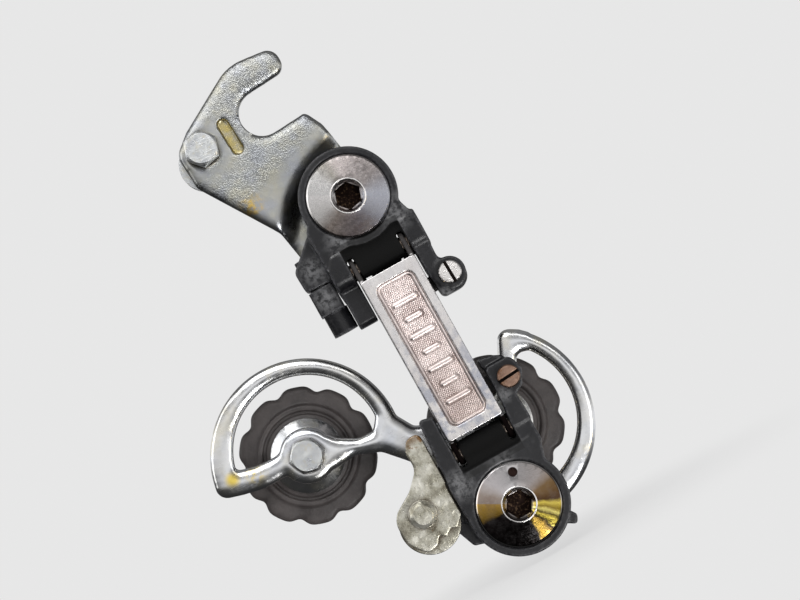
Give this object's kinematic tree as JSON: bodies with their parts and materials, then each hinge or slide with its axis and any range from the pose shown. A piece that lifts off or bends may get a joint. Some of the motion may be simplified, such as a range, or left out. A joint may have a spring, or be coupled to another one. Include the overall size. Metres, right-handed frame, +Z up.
{
  "type": "rear bicycle derailleur",
  "caption": "Rear bicycle derailleur with a claw hanger, plastic pivot knuckles, plated parallelogram links, chromed open cage and toothed pulleys.",
  "frame": {"origin": "centre of the axle slot on the inboard face of the hanger plate, where it meets the dropout", "axes": "+X forward on the bicycle, +Y inboard towards the wheel (along the axle), +Z up; the outer side faces -Y"},
  "size_m": [0.0932, 0.0374, 0.1414],
  "materials": {
    "zinc_steel": "zinc plated, satin, faint yellow passivation",
    "chrome": "bright plated",
    "black_plastic": "moulded acetal, satin",
    "pulley_plastic": "moulded, satin",
    "plated_link": "plated, worn edges, hatched panel",
    "pin_steel": "plain",
    "tarnished_steel": "tarnished, rust at the tip",
    "rusty_steel": "brown tarnish",
    "spring_steel": "plain"
  },
  "bodies": {
    "hanger": {"hanger_plate": "zinc_steel", "hanger_bolt": "zinc_steel", "dropout_nut": "zinc_steel", "upper_pivot_bolt": "chrome", "upper_pivot_nut": "zinc_steel"},
    "upper_knuckle": {"upper_knuckle": "black_plastic", "upper_pivot_spring": "spring_steel", "upper_outer_pin": "pin_steel", "upper_inner_pin": "pin_steel", "cable_stop": "black_plastic"},
    "upper_screw": {"upper_limit_screw": "zinc_steel"},
    "outer_link": {"outer_link": "plated_link"},
    "inner_link": {"inner_link": "pin_steel", "parallelogram_spring": "spring_steel"},
    "lower_knuckle": {"lower_knuckle": "black_plastic", "lower_outer_pin": "pin_steel", "lower_inner_pin": "pin_steel", "lower_pivot_bolt": "chrome", "lower_pivot_clip": "pin_steel", "lower_pivot_spring": "spring_steel", "cable_anchor_arm": "tarnished_steel", "cable_anchor_plate": "tarnished_steel", "cable_anchor_bolt": "tarnished_steel", "cable_anchor_washer": "tarnished_steel", "cable_anchor_nut": "tarnished_steel"},
    "lower_screw": {"lower_limit_screw": "rusty_steel"},
    "cage": {"cage_outer_plate": "chrome", "cage_inner_plate": "chrome", "cage_pivot_sleeve": "pin_steel", "guide_bush": "pin_steel", "guide_cap_outer": "chrome", "guide_cap_inner": "chrome", "guide_bolt": "zinc_steel", "guide_nut": "zinc_steel", "tension_bush": "pin_steel", "tension_cap_outer": "chrome", "tension_cap_inner": "chrome", "tension_bolt": "zinc_steel", "tension_nut": "zinc_steel"},
    "guide_pulley": {"guide_pulley": "pulley_plastic"},
    "tension_pulley": {"tension_pulley": "pulley_plastic"}
  },
  "joints": [
    {"name": "hanger_pivot", "type": "hinge", "parent": "hanger", "child": "upper_knuckle", "pos_m": [0.0081, 0, -0.03], "axis": [0, -1, 0], "range_deg": [0, 40], "stiffness_Nm_per_rad": 0.25, "springref_deg": -51.57},
    {"name": "shift", "type": "hinge", "parent": "upper_knuckle", "child": "outer_link", "pos_m": [0.0077, -0.0128, -0.0465], "axis": [1, 0, 0], "range_deg": [0, 32], "stiffness_Nm_per_rad": 0.15, "springref_deg": -45.84},
    {"name": "shift_inner", "type": "hinge", "parent": "upper_knuckle", "child": "inner_link", "pos_m": [0.0077, -0.0034, -0.0465], "axis": [1, 0, 0], "range_deg": [0, 32]},
    {"name": "shift_lower", "type": "hinge", "parent": "outer_link", "child": "lower_knuckle", "pos_m": [0.0077, -0.0128, -0.0974], "axis": [1, 0, 0], "range_deg": [-32, 0]},
    {"name": "cage_pivot", "type": "hinge", "parent": "lower_knuckle", "child": "cage", "pos_m": [0.0078, 0, -0.1148], "axis": [0, -1, 0], "range_deg": [0, 120], "stiffness_Nm_per_rad": 0.12, "springref_deg": -57.3},
    {"name": "guide_pulley_spin", "type": "hinge", "parent": "cage", "child": "guide_pulley", "pos_m": [0.01318, 0.0081, -0.09581], "axis": [0, -1, 0], "continuous": true},
    {"name": "tension_pulley_spin", "type": "hinge", "parent": "cage", "child": "tension_pulley", "pos_m": [-0.03166, 0.0081, -0.07984], "axis": [0, -1, 0], "continuous": true},
    {"name": "upper_screw_travel", "type": "slide", "parent": "upper_knuckle", "child": "upper_screw", "axis": [0, -1, 0], "range_m": [0, 0.004]},
    {"name": "lower_screw_travel", "type": "slide", "parent": "lower_knuckle", "child": "lower_screw", "axis": [0, -1, 0], "range_m": [0, 0.002]}
  ],
  "couplings": [
    {"joint": "shift_inner", "follows": "shift", "ratio": 1},
    {"joint": "shift_lower", "follows": "shift", "ratio": -1}
  ]
}
